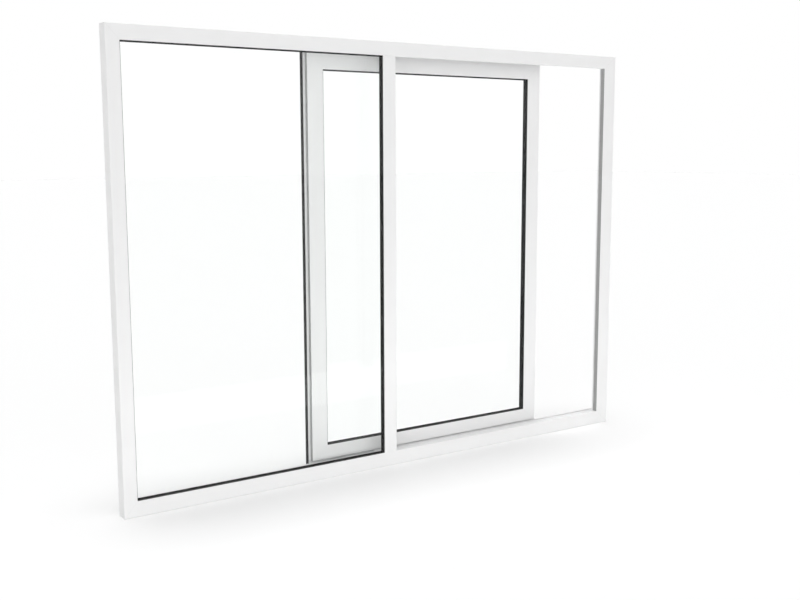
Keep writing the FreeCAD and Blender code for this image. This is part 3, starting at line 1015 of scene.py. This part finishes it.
@dataclass
class RailTrim:
    """End caps and fixing screws of the rails and of the inner sill.

    Pairs of sizes are depth and height.
    """

    cap: float = 0.0016
    foot_gap: float = 0.0005
    round_off: float = 0.003
    round_share: float = 0.3
    leg: float = 0.005
    shelf: Flat = (0.026, 0.0266)
    toe_top: float = 0.0146
    cover_edge: Flat = (0.026, 0.004)
    channel: Flat = (0.03, 0.01)
    screws: int = 12
    screw_inset: float = 0.11
    screw_seat: float = 0.004
    running_screw_height: float = 0.03
    guide_screw_height: float = 2.071

    def caps(
        self,
        name: str,
        outline: Sequence[Flat],
        finish: FinishName,
        shop: Workshop,
    ) -> None:
        """Thin plastic caps on both ends of one profile.

        Args:
            name: Name of the profile.
            outline: Corners of the cap as depth and height.
            finish: Finish of the caps.
            shop: Maker of pieces.
        """
        low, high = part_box("inner_sill")
        for label, x, run in (("left", low[0], -self.cap), ("right", high[0], self.cap)):
            mesh = bar_mesh([(x, y, z) for y, z in outline], (run, 0.0, 0.0))
            shop.keep(f"{name}_cap_{label}", mesh, finish, Side.FRAME)

    def sill_outline(self) -> list[Flat]:
        """Cap of the inner sill, with its rounded room edge.

        Returns:
            Corners as depth and height.
        """
        low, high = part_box("inner_sill")
        top, back, ease = high[2], high[1], self.round_off * self.round_share
        return [
            (low[1], self.foot_gap),
            (low[1], top),
            (back - self.round_off, top),
            (back - ease, top - ease),
            (back, top - self.round_off),
            (back, self.foot_gap),
        ]

    def running_outline(self) -> list[Flat]:
        """Cap of the running rail, in the steps of its profile.

        Returns:
            Corners as depth and height.
        """
        low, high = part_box("running_rail")
        front, back = low[1], high[1]
        shelf_depth, shelf_top = self.shelf
        return [
            (front, self.foot_gap),
            (front, high[2]),
            (front + self.leg, high[2]),
            (front + self.leg, shelf_top),
            (front + shelf_depth, shelf_top),
            (front + shelf_depth, self.toe_top),
            (back, self.toe_top),
            (back, self.foot_gap),
        ]

    def guide_outline(self) -> list[Flat]:
        """Cap of the guide rail and its cover, with the open side below.

        Returns:
            Corners as depth and height.
        """
        low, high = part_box("guide_rail")
        front, foot = low[1], low[2]
        reach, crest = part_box("guide_cover")[1][1:]
        edge_depth, edge_rise = self.cover_edge
        channel_depth, channel_drop = self.channel
        return [
            (front, foot),
            (front, high[2]),
            (front + self.leg, high[2]),
            (front + self.leg, crest),
            (reach, crest),
            (reach, foot + edge_rise),
            (reach - edge_depth, foot + edge_rise),
            (front + channel_depth, crest - channel_drop),
            (front + self.leg, foot),
        ]

    def build(self, shop: Workshop) -> None:
        """Make the caps and the screws.

        Args:
            shop: Maker of pieces.
        """
        self.caps("inner_sill", self.sill_outline(), FinishName.WHITE, shop)
        self.caps("running_rail", self.running_outline(), FinishName.NYLON, shop)
        self.caps("guide_rail", self.guide_outline(), FinishName.WHITE, shop)
        for node, height in (
            ("running_rail", self.running_screw_height),
            ("guide_rail", self.guide_screw_height),
        ):
            low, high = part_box(node)
            pitch = (high[0] - low[0] - 2 * self.screw_inset) / (self.screws - 1)
            start = (low[0] + self.screw_inset, low[1] + self.screw_seat, height)
            step = (pitch, 0.0, 0.0)
            ScrewRow(f"{node}_screws", start, step, self.screws, Side.FRAME).build(shop)


@dataclass
class PullTrim:
    """Screws of the recessed pull."""

    inset: float = 0.013

    def build(self, shop: Workshop) -> None:
        """Set one screw at each end of the plate.

        Args:
            shop: Maker of pieces.
        """
        low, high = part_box("pull_handle")
        middle = (low[0] + high[0]) / 2
        start = (middle, high[1], low[2] + self.inset)
        step = (0.0, 0.0, high[2] - low[2] - 2 * self.inset)
        ScrewRow("pull_screws", start, step, 2, Side.SASH).build(shop)


class CarriedNodes:
    """Nodes of the solid model that stay and get their finish."""

    def dress(self, palette: Palette) -> None:
        """Give each node the finish that the record names.

        Args:
            palette: Materials of the door.
        """
        slots = {part["node"]: part["material_slot"] for part in frame["record"]["subparts"]}
        for node, thing in frame["nodes"].items():
            palette.dress(thing, slots[node])
            LOG.info("node %s: %s", node, slots[node])


@dataclass(frozen=True)
class SoftLamp:
    """Distant lamp with a wide spread; spread and turn are in degrees."""

    name: str
    strength: float
    spread: float
    turn: Point

    def build(self) -> None:
        """Put the lamp into the scene."""
        lamp = bpy.data.lights.new(self.name, "SUN")
        lamp.energy = self.strength
        lamp.angle = math.radians(self.spread)
        holder = bpy.data.objects.new(self.name, lamp)
        holder.rotation_euler = tuple(math.radians(angle) for angle in self.turn)
        bpy.context.scene.collection.objects.link(holder)


@dataclass(frozen=True)
class StripLamp:
    """Long soft box out of the camera's view; turn is in degrees."""

    name: str
    power: float
    length: float
    width: float
    place: Point
    turn: Point

    def build(self) -> None:
        """Put the lamp into the scene."""
        lamp = bpy.data.lights.new(self.name, "AREA")
        lamp.shape = "RECTANGLE"
        lamp.size = self.length
        lamp.size_y = self.width
        lamp.energy = self.power
        holder = bpy.data.objects.new(self.name, lamp)
        holder.location = self.place
        holder.rotation_euler = tuple(math.radians(angle) for angle in self.turn)
        holder.visible_camera = False
        bpy.context.scene.collection.objects.link(holder)


@dataclass
class Studio:
    """Pale floor, soft light and the camera of the photograph; its angles are in degrees."""

    camera_place: Point = (-2.9154, -4.2807, 1.5733)
    heading: float = 34.35
    pitch: float = -8.08
    roll: float = -0.15
    lens: float = 46.79
    sensor: float = 36.0
    near: float = 0.05
    far: float = 200.0
    floor_reach: float = 60.0
    floor_drop: float = 0.0005
    sky: float = 0.3
    lamps: tuple[SoftLamp | StripLamp, ...] = (
        SoftLamp("overhead_light", 1.86, 30.0, (-3.5, 0.0, 0.0)),
        SoftLamp("front_light", 1.32, 110.0, (80.0, 0.0, -12.0)),
        SoftLamp("side_light", 0.22, 60.0, (75.0, 0.0, -80.0)),
        StripLamp("low_light", 4.8, 4.4, 0.2, (-0.3, -1.25, 0.12), (90.0, 0.0, 0.0)),
    )
    glass_layers: int = 32

    def build(self) -> None:
        """Make floor, world, lamps and camera."""
        bpy.context.scene.cycles.transparent_max_bounces = self.glass_layers
        self.make_floor()
        self.make_world()
        for lamp in self.lamps:
            lamp.build()
        self.make_camera()

    def make_floor(self) -> None:
        """Large pale floor under the door."""
        mesh = bpy.data.meshes.new("floor")
        reach = self.floor_reach
        square = Rectangle(-reach, -reach, reach, reach)
        mesh.from_pydata([(x, y, 0.0) for x, y in square.corners()], [], [(0, 1, 2, 3)])
        floor = bpy.data.objects.new("floor", mesh)
        floor.location.z = -self.floor_drop
        bpy.context.scene.collection.objects.link(floor)
        floor.data.materials.append(FloorFinish().make())

    def make_world(self) -> None:
        """White surroundings, seen as plain white and lighting a little softer."""
        paint = Paint(bpy.data.worlds.new("studio"))
        strength = self.sky + (1.0 - self.sky) * paint.seen_directly()
        glow = {"Color": (1.0, 1.0, 1.0), "Strength": strength}
        light = paint.node("Background", None, glow)
        paint.node("OutputWorld", None, {"Surface": paint.out(light)})
        bpy.context.scene.world = paint.owner

    def make_camera(self) -> None:
        """Camera at the photograph's viewing angle."""
        camera = bpy.data.cameras.new("camera")
        camera.lens = self.lens
        camera.sensor_width = self.sensor
        camera.clip_start = self.near
        camera.clip_end = self.far
        holder = bpy.data.objects.new("camera", camera)
        turn, tip = math.radians(self.heading), math.radians(self.pitch)
        level = math.cos(tip)
        look = Vector((math.sin(turn) * level, math.cos(turn) * level, math.sin(tip)))
        upright = look.to_track_quat("-Z", "Y").to_matrix().to_4x4()
        rolled = upright @ Matrix.Rotation(math.radians(self.roll), 4, "Z")
        holder.matrix_world = Matrix.Translation(Vector(self.camera_place)) @ rolled
        bpy.context.scene.collection.objects.link(holder)
        bpy.context.scene.camera = holder


def main() -> None:
    """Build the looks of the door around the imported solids."""
    logging.basicConfig(level=logging.INFO, format="%(name)s: %(message)s")
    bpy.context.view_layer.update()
    bpy.context.scene.view_settings.view_transform = "Standard"
    palette = Palette()
    CarriedNodes().dress(palette)
    shop = Workshop(palette)
    MitreSeams().build(shop)
    GlazingTrim().build(shop)
    PaintedShadeStrips().build(shop)
    ThresholdBrush().build(shop)
    RailTrim().build(shop)
    PullTrim().build(shop)
    Studio().build()


if __name__ == "__main__":
    main()
